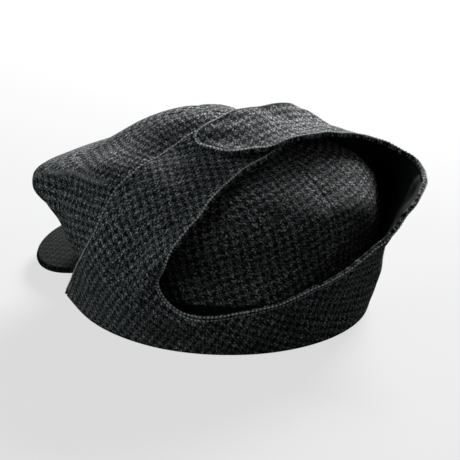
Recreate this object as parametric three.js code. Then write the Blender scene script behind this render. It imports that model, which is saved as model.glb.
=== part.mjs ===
// Deerstalker hat of small-checked wool tweed, standing on its headband with the ear flaps turned up.
// Millimetres, +Z up. The peak points along -Y and the wearer's left ear is at +X.
import * as THREE from 'three';

// Headband: an oval ring, and the cloth thicknesses
const BAND_HALF_WIDTH = 87.5;
const BAND_HALF_LENGTH = 94;
const BAND_HEIGHT = 30;
const CLOTH = 2.4;
const GAP = 0.3;

// The crown's shape is its reach from a point inside it, called the heart, in every direction
const HEART = new THREE.Vector3(0, -8, 60);
const APEX_REACH = 59.5;
const PANELS = 8;
const FIRST_SEAM = -84; // degrees: the soft crown has turned a little on its band
const TOP_LEAN = [-0.38, 0.15]; // and the point where its seams meet lies back and to the right
const LEAN_POWER = 1.3;
const PANEL_STEPS = 6;
const RISE_STEPS = 15;
const PANEL_TOP = 88; // degrees above the heart, leaving a pinhole where the eight points meet
const MOST_TRIM = 0.6; // share of a panel's half width that its seam gap may take at the top

// Heights, in degrees above the heart, at which a crown row gives the reach
const CROWN_HEIGHTS = [-6, 8, 15, 22, 40, 62];

// One row for each direction seen from above, from the front at -90 to the back at 90
const SWELL_AT = 138; // the crown is fuller under the wing, at its right and back, by these reaches
const SWELL_SPREAD = 28;
const SWELL_REACH = [8.5, 6.5, 7, 5, 1, 0];
const CROWN = [
  { at: -90, reach: [94, 102, 89.5, 78, 69, 62] },
  { at: -65, reach: [95, 106, 93, 81, 70, 62] },
  { at: -42, reach: [97, 112, 99, 85.5, 71, 62] },
  { at: -30, reach: [96, 100, 100, 87, 69.5, 61.5] },
  { at: -15, reach: [91, 90, 90.5, 89, 68, 61] },
  { at: 0, reach: [90, 90, 90, 89.5, 67.5, 60.5] },
  { at: 10, reach: [91, 92, 89, 85, 67, 60] },
  { at: 40, reach: [97, 98, 92, 85, 67, 60] },
  { at: 65, reach: [99, 100, 93, 85, 67, 60] },
  { at: 90, reach: [100, 100, 93, 85, 67, 60] },
];

// The flap is one piece of cloth, sewn along the headband's foot and turned up. A row gives, for a
// direction along its hem, how far the hem stands off the band and the floor, then the places low
// and high on the cloth and on its rim, and the rim's clearance over the crown.
const HEM_CLEARANCE = CLOTH / 2 + GAP;
const FLAP_STEPS = 80;
const FLAP_RISE_STEPS = 12;
const PUSH_SOFTNESS = 1; // millimetres over which the cloth eases onto the crown
const FLAP = [
  { at: -37, off: 7, lift: 0.8, low: [97, -5, 59], high: [76, 2, 91], rim: [26, 6, 115], clear: 2.2 },
  { at: -29, off: 4, lift: 0.4, low: [98, 3, 58], high: [74, 10, 95], rim: [8, 8, 117], clear: 2.2 },
  { at: -20, off: 2, lift: 0, low: [98, 9, 55], high: [72, 19, 96], rim: [-14, 20, 115], clear: 2.2 },
  { at: -10, off: 1.5, lift: 0, low: [98, 16, 50], high: [72, 30, 93], rim: [-16, 43, 108], clear: 2.2 },
  { at: -2, off: 1.5, lift: 0, low: [97, 21, 44], high: [77, 38, 87], rim: [12, 50, 105], clear: 2.4 },
  { at: 6, off: 1.5, lift: 0, low: [96, 26, 37], high: [82, 44, 78], rim: [44, 56, 98], clear: 3 },
  { at: 14, off: 1.5, lift: 0, low: [94, 32, 29], high: [86, 50, 66], rim: [70, 63, 85], clear: 4 },
  { at: 21, off: 1.5, lift: 0, low: [91, 38, 22], high: [89, 53, 50], rim: [87, 63, 71], clear: 5 },
  { at: 28, off: 1.5, lift: 0, low: [86, 46, 17], high: [89, 50, 33], rim: [89, 50, 50], clear: 5 },
  { at: 37, off: 1.5, lift: 0, low: [77, 58, 13], high: [79, 58, 22], rim: [80, 55, 31], clear: 4 },
  { at: 48, off: 1.5, lift: 0, low: [66, 71, 11], high: [67, 71, 19], rim: [66, 72, 28], clear: 3 },
  { at: 66, off: 1.5, lift: 0, low: [40, 90, 11], high: [41, 91, 22], rim: [41, 93, 34], clear: 3 },
  { at: 91, off: 1.5, lift: 0, low: [-1, 98, 14], high: [0, 100, 28], rim: [0, 105, 45.5], clear: 3 },
  { at: 112, off: 1.5, lift: 0, low: [-36, 90, 20], high: [-36, 97, 40], rim: [-33, 110, 60], clear: 4 },
  { at: 126, off: 1.5, lift: 0, low: [-58, 82, 22], high: [-55, 90, 48], rim: [-52, 113, 77], clear: 5 },
  { at: 138, off: 1.5, lift: 0, low: [-72, 68, 24], high: [-73, 77, 54], rim: [-74, 104, 84], clear: 6 },
  { at: 149, off: 1.5, lift: 0, low: [-84, 52, 26], high: [-86, 64, 56], rim: [-90, 89, 84], clear: 6 },
  { at: 160, off: 1.5, lift: 0, low: [-91, 38, 30], high: [-97, 52, 60], rim: [-102, 71, 85], clear: 7 },
  { at: 171, off: 1.5, lift: 0, low: [-95, 26, 36], high: [-99, 40, 66], rim: [-99, 60, 90], clear: 9 },
  { at: 182, off: 1.5, lift: 0, low: [-97, 16, 42], high: [-95, 30, 76], rim: [-86, 50, 97], clear: 11 },
  { at: 190, off: 1.5, lift: 0, low: [-97, 8, 48], high: [-88, 22, 88], rim: [-50, 50, 109], clear: 11 },
  { at: 198, off: 1.5, lift: 0, low: [-97, 0, 56], high: [-78, 12, 98], rim: [-6, 51, 112], clear: 8 },
  { at: 206, off: 2, lift: 0, low: [-97, -8, 60], high: [-66, 7, 107], rim: [26, 42, 111], clear: 6.5 },
  { at: 212, off: 4, lift: 0.4, low: [-97, -13, 62], high: [-58, 5, 112], rim: [36, 25, 113], clear: 6.5 },
  { at: 217, off: 7, lift: 0.8, low: [-96, -16, 62], high: [-52, 3, 116], rim: [32, 11, 115], clear: 5.6 },
];

// Peak: a stiff crescent sewn to the front of the headband
const PEAK_THICKNESS = 4;
const PEAK_SPREAD = 46;
const PEAK_DEPTH = 48;
const PEAK_ROOT_HEIGHT = 20;
const PEAK_DROP = 8;
const PEAK_ARCH = 5;
const PEAK_ARCH_HALF_WIDTH = 60;
const PEAK_SIDE_LEAN = 0.75;
const PEAK_ROUNDNESS = 0.45;
const PEAK_CURL = 1.6;
const PEAK_SIDE_DEPTH = 4;
const PEAK_STEPS = 28;
const PEAK_DEPTH_STEPS = 6;

const { degToRad, radToDeg, clamp, lerp } = THREE.MathUtils;

// Cubic from a to b over a span, with the slopes given at its ends
function cubic(a, b, slopeA, slopeB, span, t) {
  const t2 = t * t;
  const t3 = t2 * t;
  const ends = (2 * t3 - 3 * t2 + 1) * a + (3 * t2 - 2 * t3) * b;
  return ends + span * ((t3 - 2 * t2 + t) * slopeA + (t3 - t2) * slopeB);
}

// Smooth curve through the values at the places given, flat past neither end
function smooth(places, values, x) {
  const last = places.length - 1;
  const at = clamp(x, places[0], places[last]);
  let i = 0;
  while (i < last - 1 && at > places[i + 1]) i += 1;
  const slope = (k) => {
    const before = Math.max(k - 1, 0);
    const after = Math.min(k + 1, last);
    return (values[after] - values[before]) / (places[after] - places[before]);
  };
  const span = places[i + 1] - places[i];
  return cubic(values[i], values[i + 1], slope(i), slope(i + 1), span, (at - places[i]) / span);
}

// Distance from the heart's axis to the headband's outer face
function bandReach(angle) {
  const c = Math.cos(angle) / BAND_HALF_WIDTH;
  const s = Math.sin(angle) / BAND_HALF_LENGTH;
  const offset = HEART.y / BAND_HALF_LENGTH;
  const a = c * c + s * s;
  const b = 2 * offset * s;
  return (-b + Math.sqrt(b * b - 4 * a * (offset * offset - 1))) / (2 * a);
}

// The crown is alike on both sides but for the swell, so its rows are mirrored over the front and the back
const FRONT_MIRROR = { at: -180 - CROWN[1].at, reach: CROWN[1].reach };
const BACK_MIRROR = { at: 180 - CROWN.at(-2).at, reach: CROWN.at(-2).reach };
const CROWN_ROWS = [FRONT_MIRROR, ...CROWN, BACK_MIRROR];

function crownProfile(angle) {
  const around = THREE.MathUtils.euclideanModulo(radToDeg(angle) + 90, 360);
  const folded = Math.min(around, 360 - around) - 90;
  const foot = bandReach(angle);
  const drop = BAND_HEIGHT - HEART.z;
  const places = CROWN_ROWS.map((row) => row.at);
  const fromSwell = THREE.MathUtils.euclideanModulo(radToDeg(angle) - SWELL_AT + 180, 360) - 180;
  const swell = Math.exp(-((fromSwell / SWELL_SPREAD) ** 2));
  const middle = CROWN_HEIGHTS.map(
    (_, k) => smooth(places, CROWN_ROWS.map((row) => row.reach[k]), folded) + swell * SWELL_REACH[k],
  );
  return {
    heights: [radToDeg(Math.atan2(drop, foot)), ...CROWN_HEIGHTS, 90, 180 - CROWN_HEIGHTS.at(-1)],
    reach: [Math.hypot(foot, drop), ...middle, APEX_REACH, middle.at(-1)],
  };
}

// Reach of the crown's outer face in a direction; below the crown it follows the headband
function crownReach(angle, height) {
  const { heights, reach } = crownProfile(angle);
  if (height < heights[0]) return bandReach(angle) / Math.cos(degToRad(height));
  return smooth(heights, reach, height);
}

function fromHeart(angle, height, reach) {
  const level = reach * Math.cos(degToRad(height));
  const up = reach * Math.sin(degToRad(height));
  return new THREE.Vector3(level * Math.cos(angle), level * Math.sin(angle), up).add(HEART);
}

// A closed body from a grid of points on each of its two faces; the grids run the same way
function wall(outer, inner, closedRound = false) {
  const columns = outer.length;
  const rows = outer[0].length;
  const points = [...outer.flat(), ...inner.flat()];
  const half = columns * rows;
  const index = [];
  const quad = (a, b, c, d) => index.push(a, b, c, a, c, d);
  const out = (i, j) => (i % columns) * rows + j;
  const inn = (i, j) => half + out(i, j);
  const spans = closedRound ? columns : columns - 1;
  for (let i = 0; i < spans; i += 1) {
    for (let j = 0; j < rows - 1; j += 1) {
      quad(out(i, j), out(i + 1, j), out(i + 1, j + 1), out(i, j + 1));
      quad(inn(i, j + 1), inn(i + 1, j + 1), inn(i + 1, j), inn(i, j));
    }
    quad(inn(i, 0), inn(i + 1, 0), out(i + 1, 0), out(i, 0));
    quad(out(i, rows - 1), out(i + 1, rows - 1), inn(i + 1, rows - 1), inn(i, rows - 1));
  }
  for (let j = 0; j < rows - 1 && !closedRound; j += 1) {
    quad(inn(0, j), out(0, j), out(0, j + 1), inn(0, j + 1));
    quad(out(columns - 1, j), inn(columns - 1, j), inn(columns - 1, j + 1), out(columns - 1, j + 1));
  }
  const geometry = new THREE.BufferGeometry();
  geometry.setAttribute('position', new THREE.Float32BufferAttribute(points.flatMap((p) => p.toArray()), 3));
  geometry.setIndex(index);
  geometry.computeVertexNormals();
  return geometry;
}

function grid(columns, rows, point) {
  return Array.from({ length: columns }, (_, i) => Array.from({ length: rows }, (__, j) => point(i, j)));
}

function headband() {
  const steps = PANELS * PANEL_STEPS;
  const face = (inset) => grid(steps, 2, (i, j) => {
    const angle = (i / steps) * 2 * Math.PI;
    const x = (BAND_HALF_WIDTH - inset) * Math.cos(angle);
    const y = (BAND_HALF_LENGTH - inset) * Math.sin(angle);
    return new THREE.Vector3(x, y, j * (BAND_HEIGHT - GAP));
  });
  return wall(face(0), face(CLOTH), true);
}

// One gore of the crown, from the headband to the top, with half a seam gap along each side
function crownPanel(number) {
  const width = (2 * Math.PI) / PANELS;
  const middle = degToRad(FIRST_SEAM) + (number + 0.5) * width;
  const face = (inset) => grid(PANEL_STEPS + 1, RISE_STEPS + 1, (i, j) => {
    const swing = (i / PANEL_STEPS - 0.5) * width;
    const foot = radToDeg(Math.atan2(BAND_HEIGHT - HEART.z, bandReach(middle + swing)));
    const height = lerp(foot, PANEL_TOP, j / RISE_STEPS);
    const radius = crownReach(middle + swing, height) * Math.cos(degToRad(height));
    const trim = Math.min(GAP / radius / width, MOST_TRIM);
    const lean = ((height - foot) / (90 - foot)) ** LEAN_POWER;
    return leaningPoint(middle + swing * (1 - trim), height, lean, inset);
  });
  return wall(face(0), face(CLOTH));
}

// A point of the crown whose direction from the heart leans, by a share, towards where the seams meet
function leaningPoint(angle, height, lean, inset) {
  const way = fromHeart(angle, height, 1).sub(HEART);
  way.x += lean * TOP_LEAN[0];
  way.y += lean * TOP_LEAN[1];
  way.normalize();
  const turned = Math.atan2(way.y, way.x);
  const reach = crownReach(turned, radToDeg(Math.asin(way.z)));
  return way.multiplyScalar(reach - inset).add(HEART);
}

// A flap row at any direction along the hem
const FLAP_AT = FLAP.map((row) => row.at);
function flapColumn(pick, at) {
  return smooth(FLAP_AT, FLAP.map(pick), at);
}

function flapPlace(name, at) {
  return new THREE.Vector3(...[0, 1, 2].map((axis) => flapColumn((row) => row[name][axis], at)));
}

// Middle of the flap's cloth, at a direction along the hem and a share of the way up to its rim
function flapMiddle(at, share) {
  const off = flapColumn((row) => row.off, at);
  const angle = degToRad(at);
  const x = (BAND_HALF_WIDTH + off) * Math.cos(angle);
  const y = (BAND_HALF_LENGTH + off) * Math.sin(angle);
  const hem = new THREE.Vector3(x, y, GAP + CLOTH / 2 + flapColumn((row) => row.lift, at));
  const stations = [hem, flapPlace('low', at), flapPlace('high', at), flapPlace('rim', at)];
  const thirds = [0, 1 / 3, 2 / 3, 1];
  const axis = (name) => smooth(thirds, stations.map((p) => p[name]), share);
  const point = new THREE.Vector3(axis('x'), axis('y'), axis('z'));
  const clear = lerp(HEM_CLEARANCE, flapColumn((row) => row.clear, at), Math.sqrt(share));
  return keptOffCrown(point, clear);
}

// Pushes a point out along its line from the heart until it clears the crown, with a soft start
function keptOffCrown(point, clear) {
  const arm = point.clone().sub(HEART);
  const length = arm.length();
  const height = radToDeg(Math.asin(arm.z / length));
  const needed = crownReach(Math.atan2(arm.y, arm.x), height) + clear;
  const over = clamp((length - needed) / PUSH_SOFTNESS, -30, 30);
  const reach = needed + PUSH_SOFTNESS * Math.log1p(Math.exp(over));
  return arm.multiplyScalar(Math.max(reach, length) / length).add(HEART);
}

function flapNormal(at, share) {
  const turn = 0.4;
  const rise = 0.01;
  const along = flapMiddle(at + turn, share).sub(flapMiddle(at - turn, share));
  const low = Math.max(share - rise, 0);
  const up = flapMiddle(at, Math.min(share + rise, 1)).sub(flapMiddle(at, low));
  return along.cross(up).normalize();
}

function earFlapWrap() {
  const first = FLAP[0].at;
  const last = FLAP.at(-1).at;
  const face = (side) => grid(FLAP_STEPS + 1, FLAP_RISE_STEPS + 1, (i, j) => {
    const at = lerp(first, last, i / FLAP_STEPS);
    const share = j / FLAP_RISE_STEPS;
    return flapMiddle(at, share).addScaledVector(flapNormal(at, share), (side * CLOTH) / 2);
  });
  return wall(face(1), face(-1));
}

// Upper face of the peak, from its seam on the band to its rounded edge
function peakPoint(across, out, depthBelow) {
  const angle = -Math.PI / 2 + across * degToRad(PEAK_SPREAD);
  const rootX = (BAND_HALF_WIDTH + GAP) * Math.cos(angle);
  const rootY = (BAND_HALF_LENGTH + GAP) * Math.sin(angle);
  const lean = new THREE.Vector2(PEAK_SIDE_LEAN * Math.cos(angle), Math.sin(angle)).normalize();
  const depth = PEAK_DEPTH * Math.pow(Math.max(1 - across * across, 0), PEAK_ROUNDNESS);
  const reach = Math.max(depth, PEAK_SIDE_DEPTH) * out;
  const x = rootX + lean.x * reach;
  const y = rootY + lean.y * reach;
  const arch = PEAK_ARCH * (x / PEAK_ARCH_HALF_WIDTH) ** 2;
  const drop = PEAK_DROP * Math.pow(reach / PEAK_DEPTH, PEAK_CURL);
  return new THREE.Vector3(x, y, PEAK_ROOT_HEIGHT - drop - arch - depthBelow);
}

function peak() {
  const face = (below) => grid(PEAK_STEPS + 1, PEAK_DEPTH_STEPS + 1, (i, j) => {
    const across = -Math.cos((i / PEAK_STEPS) * Math.PI);
    return peakPoint(across, 1 - j / PEAK_DEPTH_STEPS, below);
  });
  return wall(face(0), face(PEAK_THICKNESS));
}

const TWEED = { color: 0x3a3d3e, roughness: 0.95, metalness: 0 };

function piece(name, geometry, shade = 1) {
  const material = new THREE.MeshStandardMaterial(TWEED);
  material.color.multiplyScalar(shade);
  const mesh = new THREE.Mesh(geometry, material);
  mesh.name = name;
  return mesh;
}

const hat = new THREE.Group();
hat.add(piece('headband', headband(), 0.6));
for (let number = 0; number < PANELS; number += 1) {
  hat.add(piece(`crown_panel_${number + 1}`, crownPanel(number)));
}
hat.add(piece('ear_flap_wrap', earFlapWrap()));
hat.add(piece('peak', peak(), 1.2));

// The origin is at the middle of the hat's outline, on the floor
const box = new THREE.Box3().setFromObject(hat, true);
const centre = box.getCenter(new THREE.Vector3());
hat.position.set(-centre.x, -centre.y, -box.min.z);

export default hat;
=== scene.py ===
# %% [markdown]
# # A deerstalker hat with its ear flaps turned up
# The hat is a soft crown of eight cloth gores sewn to a headband, with a short stiff peak at the
# front and one long flap of the same tweed. The flap is sewn along the headband's foot, turned up
# round the crown, and its two ends cross on top. The solid model has these pieces as plain walls.
# Here each wall becomes cloth: finer curves, seams that roll in, stitched edges and a woven check.
# Shapes are worked out in millimetres about the middle of the headband, then moved to the frame.

# %% Load the frame
import math

import bmesh
import bpy
import numpy as np
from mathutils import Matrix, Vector


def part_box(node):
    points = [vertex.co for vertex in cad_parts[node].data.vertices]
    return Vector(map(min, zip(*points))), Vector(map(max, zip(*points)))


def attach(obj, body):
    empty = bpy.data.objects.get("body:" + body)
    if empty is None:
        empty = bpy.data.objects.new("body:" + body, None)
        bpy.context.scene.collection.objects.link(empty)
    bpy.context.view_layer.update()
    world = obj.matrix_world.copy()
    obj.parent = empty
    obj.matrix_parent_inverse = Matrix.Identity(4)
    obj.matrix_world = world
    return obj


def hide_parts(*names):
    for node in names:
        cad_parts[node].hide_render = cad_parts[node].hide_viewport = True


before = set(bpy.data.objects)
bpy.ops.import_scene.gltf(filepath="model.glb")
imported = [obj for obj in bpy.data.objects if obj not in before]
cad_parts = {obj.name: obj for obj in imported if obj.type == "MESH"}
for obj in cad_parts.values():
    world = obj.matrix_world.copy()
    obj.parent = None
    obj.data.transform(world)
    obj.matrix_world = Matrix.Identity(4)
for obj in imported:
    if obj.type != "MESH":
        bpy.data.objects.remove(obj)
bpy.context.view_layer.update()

MM = 0.001
band_low, band_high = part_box("headband")
BAND_MIDDLE = np.array([(band_low.x + band_high.x) / 2, (band_low.y + band_high.y) / 2, 0])
print("nodes", sorted(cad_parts), "band middle", BAND_MIDDLE)


def placed(points):
    """Points in millimetres about the headband's middle, as metres in the frame."""
    return np.asarray(points, float) * MM + BAND_MIDDLE


def in_scene(name, data):
    """A new object of the scene that shows some mesh, curve, lamp or camera data."""
    item = bpy.data.objects.new(name, data)
    bpy.context.scene.collection.objects.link(item)
    return item


# %% [markdown]
# The camera stands behind the hat's left side and looks down at it. It is far off with a long lens,
# as a product photographer would have it, so that the near side doesn't swell. Aiming it at a
# point above the floor frames the hat without any lens shift.

# %% Camera
CAMERA_TURN = math.radians(140)
CAMERA_RISE = math.radians(23)
CAMERA_DISTANCE = 1.4
CAMERA_LENS = 173.1
AIM_RIGHT = 0.0045  # sideways and upward aim off the headband's middle, as a share of the distance
AIM_UP = 0.0289

to_camera = Vector((math.sin(CAMERA_TURN) * math.cos(CAMERA_RISE),
                    -math.cos(CAMERA_TURN) * math.cos(CAMERA_RISE), math.sin(CAMERA_RISE)))
picture_right = Vector((0, 0, 1)).cross(to_camera).normalized()
picture_up = to_camera.cross(picture_right)
camera = in_scene("camera", bpy.data.cameras.new("camera"))
camera.location = Vector(BAND_MIDDLE) + CAMERA_DISTANCE * to_camera
look = -to_camera + AIM_RIGHT * picture_right + AIM_UP * picture_up
camera.rotation_euler = look.to_track_quat("-Z", "Y").to_euler()
camera.data.lens = CAMERA_LENS
camera.data.sensor_width = 36
bpy.context.scene.camera = camera
bpy.context.scene.view_settings.view_transform = "Standard"
print("camera at", tuple(round(c, 3) for c in camera.location))

# %% [markdown]
# Dark wool only shows its weave when a strong light rakes it. A small strong lamp stands low behind
# the hat and a little to the right. A weak lamp fills in from the camera's left, a weaker one from
# its right, and a very weak sky fills the shadows. The floor is pale to the camera and sends less
# light back, as if black cards stood round the hat, so the lower sides stay deep.

# %% Light and floor
LAMP_DISTANCE = 1.5
LAMP_RISE = math.radians(26)
LAMP_TURN = math.radians(-23)  # seen from above, from dead behind the hat; minus is to the right
LAMP_SIZE = 0.55
LAMP_POWER = 52
SKY_FILL = 0.035
FILL_TURN = math.radians(-66)  # from the camera's own side of the hat; minus is to the left
FILL_RISE = math.radians(27)
FILL_SIZE = 0.9
FILL_POWER = 4.2
SIDE_TURN = math.radians(78)
SIDE_RISE = math.radians(5)
SIDE_SIZE = 0.8
SIDE_POWER = 1.1
FLOOR_SHADE = (0.86, 0.86, 0.86, 1)
FLOOR_BOUNCE = (0.05, 0.05, 0.05, 1)
FLOOR_GLOW = 0.8  # share of the floor's brightness that shadows don't touch
FLOOR_HALF = 4


def soft_lamp(name, turn, rise, size, power, colour):
    """A square lamp that faces the hat; turn is seen from above, from dead behind the hat."""
    away = CAMERA_TURN + turn
    to_lamp = Vector((-math.sin(away) * math.cos(rise), math.cos(away) * math.cos(rise), math.sin(rise)))
    data = bpy.data.lights.new(name, "AREA")
    data.energy = power
    data.color = colour
    data.size = size
    lamp = in_scene(name, data)
    lamp.location = Vector(BAND_MIDDLE) + LAMP_DISTANCE * to_lamp
    lamp.rotation_euler = to_lamp.to_track_quat("Z", "Y").to_euler()


soft_lamp("main_lamp", LAMP_TURN, LAMP_RISE, LAMP_SIZE, LAMP_POWER, (0.99, 0.99, 1))
soft_lamp("fill_lamp", math.pi + FILL_TURN, FILL_RISE, FILL_SIZE, FILL_POWER, (0.88, 0.99, 0.97))
soft_lamp("side_lamp", math.pi + SIDE_TURN, SIDE_RISE, SIDE_SIZE, SIDE_POWER, (0.92, 0.99, 1))


def shaded(tree, kind, socket, value):
    """A shader node of some kind with one socket set; gives its output."""
    node = tree.nodes.new(kind)
    node.inputs[socket].default_value = value
    return node.outputs[0]


def seen_and_sent(tree, seen, sent, surface):
    """One shader for what the camera sees and another for the light that reaches the hat."""
    rays = tree.nodes.new("ShaderNodeLightPath")
    mix = tree.nodes.new("ShaderNodeMixShader")
    tree.links.new(rays.outputs["Is Camera Ray"], mix.inputs["Fac"])
    tree.links.new(sent, mix.inputs[1])
    tree.links.new(seen, mix.inputs[2])
    tree.links.new(mix.outputs[0], tree.nodes.new(surface).inputs["Surface"])


sky = bpy.data.worlds.new("studio_sky")
bpy.context.scene.world = sky
sky.use_nodes = True
sky.node_tree.nodes.clear()
sky_seen = shaded(sky.node_tree, "ShaderNodeBackground", "Color", FLOOR_SHADE)
sky_light = shaded(sky.node_tree, "ShaderNodeBackground", "Strength", SKY_FILL)
seen_and_sent(sky.node_tree, sky_seen, sky_light, "ShaderNodeOutputWorld")

floor_mesh = bpy.data.meshes.new("studio_floor")
floor_corners = [(x * FLOOR_HALF, y * FLOOR_HALF, 0) for x, y in ((-1, -1), (1, -1), (1, 1), (-1, 1))]
floor_mesh.from_pydata(floor_corners, [], [(0, 1, 2, 3)])
floor = in_scene("studio_floor", floor_mesh)
floor_paint = bpy.data.materials.new("studio_paper")
floor_paint.use_nodes = True
paint_tree = floor_paint.node_tree
paint_tree.nodes.clear()
floor_seen = paint_tree.nodes.new("ShaderNodeMixShader")
floor_seen.inputs["Fac"].default_value = FLOOR_GLOW
floor_shadowed = shaded(paint_tree, "ShaderNodeBsdfDiffuse", "Color", FLOOR_SHADE)
floor_even = shaded(paint_tree, "ShaderNodeEmission", "Color", FLOOR_SHADE)
paint_tree.links.new(floor_shadowed, floor_seen.inputs[1])
paint_tree.links.new(floor_even, floor_seen.inputs[2])
floor_light = shaded(paint_tree, "ShaderNodeBsdfDiffuse", "Color", FLOOR_BOUNCE)
seen_and_sent(paint_tree, floor_seen.outputs[0], floor_light, "ShaderNodeOutputMaterial")
floor_mesh.materials.append(floor_paint)
print("lamps", LAMP_POWER, FILL_POWER, SIDE_POWER, "W at", LAMP_DISTANCE, "m")

# %% [markdown]
# The hat's form is given by two short tables, as in the solid model. The first says how far the
# crown reaches from a point inside it, the heart, in each direction. The second places the flap:
# for each direction along its hem, a place low on the cloth, one high, and one on its rim. A
# smooth curve runs through each table, so a few readings make the whole surface. Three rows, 14
# to 28, stand a few millimetres off the solid's, so that the soft rim hides the flap's inside.

# %% Tables of the form
HALF_WIDTH = 87.5
HALF_LENGTH = 94
BAND_HEIGHT = 30
CLOTH = 2.4
GAP = 0.3
HEART = np.array([0, -8, 60])
APEX_REACH = 59.5
GORES = 8
FIRST_SEAM = -84
TOP_LEAN = np.array([-0.38, 0.15, 0])
LEAN_POWER = 1.3

CROWN_HEIGHTS = [-6, 8, 15, 22, 40, 62]
CROWN = {
    -90: [94, 102, 89.5, 78, 69, 62],
    -65: [95, 106, 93, 81, 70, 62],
    -42: [97, 112, 99, 85.5, 71, 62],
    -30: [96, 100, 100, 87, 69.5, 61.5],
    -15: [91, 90, 90.5, 89, 68, 61],
    0: [90, 90, 90, 89.5, 67.5, 60.5],
    10: [91, 92, 89, 85, 67, 60],
    40: [97, 98, 92, 85, 67, 60],
    65: [99, 100, 93, 85, 67, 60],
    90: [100, 100, 93, 85, 67, 60],
}
SWELL_AT = 138  # the crown is fuller at the right and back, by these reaches
SWELL_SPREAD = 28
SWELL_REACH = [8.5, 6.5, 7, 5, 1, 0]
CROWN_AT = [-115, *CROWN, 115]
CROWN_REACH = np.array([CROWN[-65], *CROWN.values(), CROWN[65]], float)

# direction along the hem: off, lift, low x y z, high x y z, rim x y z, clearance over the crown
FLAP = {
    -37: [7, 0.8, 97, -5, 59, 76, 2, 91, 26, 6, 115, 2.2],
    -29: [4, 0.4, 98, 3, 58, 74, 10, 95, 8, 8, 117, 2.2],
    -20: [2, 0, 98, 9, 55, 72, 19, 96, -14, 20, 115, 2.2],
    -10: [1.5, 0, 98, 16, 50, 72, 30, 93, -16, 43, 108, 2.2],
    -2: [1.5, 0, 97, 21, 44, 77, 38, 87, 12, 50, 105, 2.4],
    6: [1.5, 0, 96, 26, 37, 82, 44, 78, 44, 56, 98, 3],
    14: [1.5, 0, 94, 32, 29, 90, 43, 66, 70, 63, 85, 4],
    21: [1.5, 0, 91, 38, 22, 94, 44, 52, 87, 63, 71, 5],
    28: [1.5, 0, 88, 42, 17, 92, 42, 35, 89, 50, 50, 5],
    37: [1.5, 0, 77, 58, 13, 79, 58, 22, 80, 55, 31, 4],
    48: [1.5, 0, 66, 71, 11, 67, 71, 19, 66, 72, 28, 3],
    66: [1.5, 0, 40, 90, 11, 41, 91, 22, 41, 93, 34, 3],
    91: [1.5, 0, -1, 98, 14, 0, 100, 28, 0, 105, 45.5, 3],
    112: [1.5, 0, -36, 90, 20, -36, 97, 40, -33, 110, 60, 4],
    126: [1.5, 0, -58, 82, 22, -55, 90, 48, -52, 113, 77, 5],
    138: [1.5, 0, -72, 68, 24, -73, 77, 54, -74, 104, 84, 6],
    149: [1.5, 0, -84, 52, 26, -86, 64, 56, -90, 89, 84, 6],
    160: [1.5, 0, -91, 38, 30, -97, 52, 60, -102, 71, 85, 7],
    171: [1.5, 0, -95, 26, 36, -99, 40, 66, -99, 60, 90, 9],
    182: [1.5, 0, -97, 16, 42, -95, 30, 76, -86, 50, 97, 11],
    190: [1.5, 0, -97, 8, 48, -88, 22, 88, -50, 50, 109, 11],
    198: [1.5, 0, -97, 0, 56, -78, 12, 98, -6, 51, 112, 8],
    206: [2, 0, -97, -8, 60, -66, 7, 107, 26, 42, 111, 6.5],
    212: [4, 0.4, -97, -13, 62, -58, 5, 112, 36, 25, 113, 6.5],
    217: [7, 0.8, -96, -16, 62, -52, 3, 116, 32, 11, 115, 5.6],
}
FLAP_AT = list(FLAP)
FLAP_ROWS = np.array(list(FLAP.values()), float)
print("crown rows", len(CROWN), "flap rows", len(FLAP))


# %% Smooth curve through a table
def smooth(places, values, x):
    """Cubic through values at places, both along their last axis, for an array of x."""
    x = np.asarray(x, float)
    places = np.broadcast_to(np.asarray(places, float), x.shape + (np.shape(places)[-1],))
    values = np.broadcast_to(np.asarray(values, float), x.shape + (np.shape(values)[-1],))
    last = places.shape[-1] - 1
    x = np.clip(x, places[..., 0], places[..., last])
    span = (x[..., None] > places[..., 1:last]).sum(-1)

    def pick(table, k):
        return np.take_along_axis(table, k[..., None], -1)[..., 0]

    def slope(k):
        before, after = np.maximum(k - 1, 0), np.minimum(k + 1, last)
        return (pick(values, after) - pick(values, before)) / (pick(places, after) - pick(places, before))

    start, end = pick(places, span), pick(places, span + 1)
    t = (x - start) / (end - start)
    ends = (2 * t**3 - 3 * t**2 + 1) * pick(values, span) + (3 * t**2 - 2 * t**3) * pick(values, span + 1)
    bends = (t**3 - 2 * t**2 + t) * slope(span) + (t**3 - t**2) * slope(span + 1)
    return ends + (end - start) * bends


def band_reach(angle):
    """Distance from the heart's axis to the headband's outer face."""
    c, s = np.cos(angle) / HALF_WIDTH, np.sin(angle) / HALF_LENGTH
    offset = HEART[1] / HALF_LENGTH
    a, b = c * c + s * s, 2 * offset * s
    return (-b + np.sqrt(b * b - 4 * a * (offset * offset - 1))) / (2 * a)


def wrapped(degrees):
    """Degrees brought between -180 and 180."""
    return np.mod(degrees + 180, 360) - 180


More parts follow.
